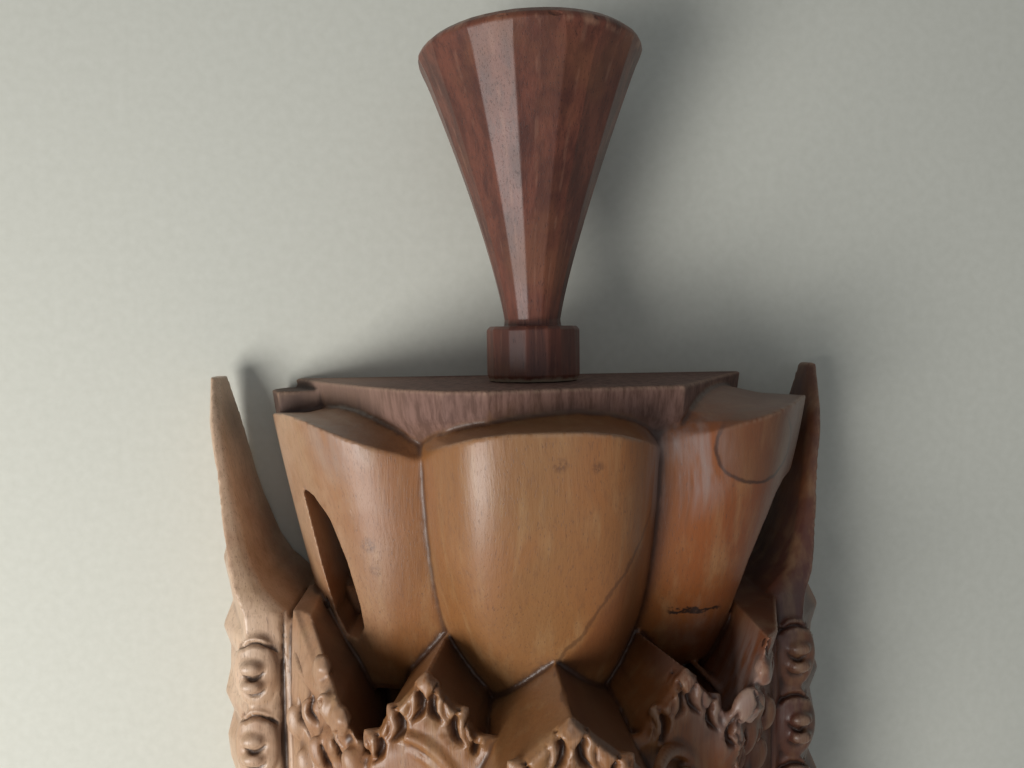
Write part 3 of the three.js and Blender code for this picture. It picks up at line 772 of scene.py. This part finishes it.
# The slab is what lies clear of the petals near the crown's top.
below_top = surface[:, 1] - crown_top
beside_wings = abs(surface[:, 0]) < 0.106
on_slab = np.zeros(len(surface), bool)
for i in np.flatnonzero((below_top > -0.045) & beside_wings):
    on_slab[i] = all(belly.find_nearest(Vector(surface[i]), 0.0014)[0] is None for belly in petal_surfaces)
on_petal = ~on_slab & (below_top > -0.035) & beside_wings
remember("slab", soft_mask(on_slab, 2))
# Painted shade: petal surfaces that face up the mask, away from the window light, are marked to be painted
# darker.
remember("bevel", soft_mask(on_petal & (normals[:, 1] > 0.4), 3))

# Painted shade: the right and upper sides of the gables and leaf blocks, which face away from the window
# light, are painted darker.
shaded_side = np.clip((0.85 * normals[:, 0] + 0.4 * normals[:, 1] - 0.4) / 0.3, 0, 1)
remember("shaded_side", soft_mask(shaded_side * (below_top < -0.088) * (surface[:, 2] > 0.045), 6))
remember("bare", soft_mask((normals[:, 2] < -0.35) | (surface[:, 2] < 0.0008), 2))

apply_modifier(carved_mask, "DECIMATE", ratio=186000 / (2 * len(carved_mask.data.polygons)))
bpy.ops.object.shade_smooth()

waxed, tree = new_material("waxed_carving_wood")
spot = add_node(tree, "TexCoord").outputs["Object"]
wood = grain_at(tree, spot)


def kept(name):
    return add_node(tree, "Attribute", attribute_name=name).outputs["Fac"]


def local(x, y, z):
    """A place counted in millimetres from the crown's top, in metres."""
    return (x / 1000, crown_top + y / 1000, z / 1000)


def blend_at(tree, place, middle, near, far):
    """1 around a place in space, up to its near distance, and 0 beyond its far distance."""
    gap = add_node(tree, "VectorMath", {0: place, 1: middle}, operation="DISTANCE").outputs["Value"]
    return opposite(tree, ramped(tree, gap, near, far))


# The wood is pale on the left, honey-coloured in the middle, and red to purple-brown on the right: partly the
# wood's own change of tone, and partly painted light on the left and painted shade on the right.
x, y, z = split(tree, spot)
drift = maths(tree, "MULTIPLY_ADD", wood["Blotches"], 0.03, maths(tree, "SUBTRACT", x, 0.015))
across = add_node(tree, "ValToRGB", {"Fac": maths(tree, "MULTIPLY_ADD", drift, 4, 0.5)})
stops = across.color_ramp.elements
while len(stops) < 6:
    stops.new(0.5)
for stop, (position, color) in zip(stops, (
        (0.05, (0.64, 0.45, 0.31)), (0.15, (0.46, 0.28, 0.17)), (0.3, (0.25, 0.1, 0.03)),
        (0.5, (0.27, 0.125, 0.044)), (0.74, (0.25, 0.07, 0.015)), (0.92, (0.095, 0.034, 0.026)))):
    stop.position = position
    stop.color = (*color, 1)
tone = across.outputs["Color"]
tone = mixed(tree, times(tree, ramped(tree, wood["Blotches"], 0.42, 0.68), 0.45), tone, (0.3, 0.11, 0.03, 1))
tone = mixed(tree, times(tree, ramped(tree, wood["Figure"], 0.45, 0.75), 0.3), tone, (0.42, 0.27, 0.13, 1))
tone = mixed(tree, times(tree, ramped(tree, wood["Streaks"], 0.45, 0.75), 0.35), tone, (0.15, 0.065, 0.03, 1))
tone = mixed(tree, times(tree, wood["Pores"], 0.45), tone, (0.1, 0.045, 0.025, 1))

# A darker growth line curves down the front petal, and the wood to its right is redder.
line_x = add_node(tree, "MapRange", {"Value": y, "From Min": crown_top - 0.095, "From Max": crown_top - 0.044,
    "To Min": 0.008, "To Max": 0.041}).outputs[0]
ripple = times(tree, noise(tree, spot, 120, 3), 0.006)
line_gap = maths(tree, "ADD", maths(tree, "SUBTRACT", x, line_x), ripple)
high_up = ramped(tree, z, 0.05, 0.06)
from_flanks = maths(tree, "SUBTRACT", times(tree, z, 0.56), apart(tree, x, crown_x))
on_front = times(tree, ramped(tree, from_flanks, 0, 0.003),
    ramped(tree, y, crown_top - 0.101, crown_top - 0.096), high_up,
    opposite(tree, ramped(tree, y, crown_top - 0.05, crown_top - 0.022)))
redder = times(tree, ramped(tree, line_gap, 0.001, 0.007), on_front, 0.62)
tone = mixed(tree, redder, tone, (0.15, 0.045, 0.014, 1))
line = opposite(tree, ramped(tree, apart(tree, line_gap, 0.002), 0.0003, 0.0012))
tone = mixed(tree, times(tree, line, on_front, 0.5), tone, (0.05, 0.018, 0.01, 1))

# On the right petal, a looped growth line that holds browner wood, and a crack lower down.
loop_scale = (1 / 0.0165, 1 / 0.0135, 0)
loop_place = (-0.0805 * loop_scale[0], (0.022 - crown_top) * loop_scale[1], 0)
looped = add_node(tree, "Mapping", {"Vector": spot, "Scale": loop_scale, "Location": loop_place}).outputs[0]
round_loop = add_node(tree, "VectorMath", {0: looped}, operation="LENGTH").outputs["Value"]
loop_waver = maths(tree, "MULTIPLY_ADD", noise(tree, spot, 160, 2), 0.16, -0.08)
round_loop = maths(tree, "ADD", round_loop, loop_waver)
upper_side = times(tree, high_up, ramped(tree, x, 0.055, 0.06))
in_loop = times(tree, opposite(tree, ramped(tree, round_loop, 0.92, 1)), upper_side)
tone = mixed(tree, times(tree, in_loop, 0.55), tone, (0.14, 0.06, 0.028, 1))
ring = times(tree, opposite(tree, ramped(tree, apart(tree, round_loop, 1), 0.015, 0.075)), upper_side,
    opposite(tree, ramped(tree, y, crown_top - 0.018, crown_top - 0.01)))
tone = mixed(tree, times(tree, ring, 0.8), tone, (0.035, 0.014, 0.008, 1))
jagged = maths(tree, "MULTIPLY_ADD", noise(tree, spot, 210, 3, 0.7), 0.009, -0.0045)
crack_y = maths(tree, "SUBTRACT", crown_top - 0.0845, jagged)
crack = times(tree, opposite(tree, ramped(tree, apart(tree, y, crack_y), 0.0005, 0.0014)),
    ramped(tree, x, 0.049, 0.052), opposite(tree, ramped(tree, x, 0.069, 0.072)), high_up)
tone = mixed(tree, times(tree, crack, 0.92), tone, (0.015, 0.007, 0.005, 1))

# Small knots and dark marks, and painted sheen: silvery painted highlights on the petals' tops and painted
# light on the right leaf block's inner face. In millimetres.
ragged = ramped(tree, noise(tree, spot, 480, 3, 0.7), 0.36, 0.56)
for middle, near, far, share in (((-58, -55.5, 78), 1.2, 4, 0.6), ((-56, -65, 77), 1, 3.5, 0.3),
                                 ((6.6, -23, 111), 0.8, 3.4, 0.55), ((18.7, -24, 110), 0.8, 3, 0.5)):
    knot = blend_at(tree, spot, local(*middle), near / 1000, far / 1000)
    tone = mixed(tree, times(tree, knot, ragged, share), tone, (0.07, 0.024, 0.012, 1))
sheen_streaks = ramped(tree, wood["Figure"], 0.3, 0.6)
# Painted highlights and painted light, streaked along the grain.
for middle, far, share in (((50, -28, 85), 26, 0.75), ((-70, -18, 79), 20, 0.35), ((66, -104, 88), 30, 0.7)):
    painted_sheen = blend_at(tree, spot, local(*middle), far / 3000, far / 1000)
    tone = mixed(tree, times(tree, painted_sheen, sheen_streaks, share), tone, (0.3, 0.23, 0.21, 1))

# Then painted shade on the petals' bevels and on the sides turned from the light, the scraped slab with
# painted light on its left, painted shade on the rear stub, wear, dirt with painted shade in the hollows, and
# the bare back.
slab, bare, hollow_dirt_and_shade = (kept(name) for name in ("slab", "bare", "hollow_dirt_and_shade"))
# Painted shade on the petals' bevels.
tone = mixed(tree, times(tree, kept("bevel"), 0.3), tone, (0.14, 0.055, 0.026, 1))
# Painted shade on the sides turned away from the light.
tone = mixed(tree, times(tree, kept("shaded_side"), 0.66), tone, (0.04, 0.019, 0.015, 1))
scraped = noise(tree, stretched(tree, spot, (1, 0.12, 1)), 330, 4, 0.7)
slab_tone = mixed(tree, ramped(tree, scraped, 0.35, 0.65), (0.1, 0.045, 0.03, 1), (0.2, 0.105, 0.08, 1))
# Painted light: the slab's left end, towards the window, is painted paler.
painted_light_left = times(tree, opposite(tree, ramped(tree, x, -0.085, -0.03)), 0.75)
tone = mixed(tree, slab, tone, mixed(tree, painted_light_left, slab_tone, (0.36, 0.23, 0.17, 1)))
# Painted shade: the small stub behind the left petal's tip, which lies in shadow, is painted dark.
painted_shade_stub = times(tree, blend_at(tree, spot, local(-104, -12, 16), 0.014, 0.024), 0.85)
tone = mixed(tree, painted_shade_stub, tone, (0.05, 0.024, 0.016, 1))
worn = times(tree, ramped(tree, kept("worn"), 0.25, 0.9), ramped(tree, wood["Streaks"], 0.3, 0.6), 0.4)
tone = mixed(tree, worn, tone, (0.5, 0.33, 0.22, 1))
# Dark wax and dust in the cuts, and painted shade in the hollows.
tone = mixed(tree, times(tree, ramped(tree, hollow_dirt_and_shade, 0.1, 0.75), 0.8), tone, (0.035, 0.014, 0.009, 1))
tone = mixed(tree, bare, tone, mixed(tree, wood["Streaks"], (0.3, 0.18, 0.1, 1), (0.45, 0.31, 0.19, 1)))
gloss = maths(tree, "MULTIPLY_ADD", wood["Blotches"], 0.25, 0.3)
unwaxed = maths(tree, "MAXIMUM", slab, bare)
gloss = maths(tree, "ADD", gloss, times(tree, unwaxed, 0.3))
height = maths(tree, "MULTIPLY_ADD", wood["Pores"], -0.4, wood["Streaks"])
relief = add_node(tree, "Bump", {"Strength": 0.2, "Distance": 0.0006, "Height": height}).outputs[0]
coated = times(tree, opposite(tree, maths(tree, "MAXIMUM", unwaxed, hollow_dirt_and_shade)), 0.2)
shader = add_node(tree, "BsdfPrincipled", {"Base Color": tone, "Roughness": gloss, "Normal": relief,
    "Coat Weight": coated, "Coat Roughness": 0.28})
add_node(tree, "OutputMaterial", {"Surface": shader.outputs[0]})
carved_mask.data.materials.clear()
carved_mask.data.materials.append(waxed)
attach(carved_mask, "root")
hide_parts("mask")
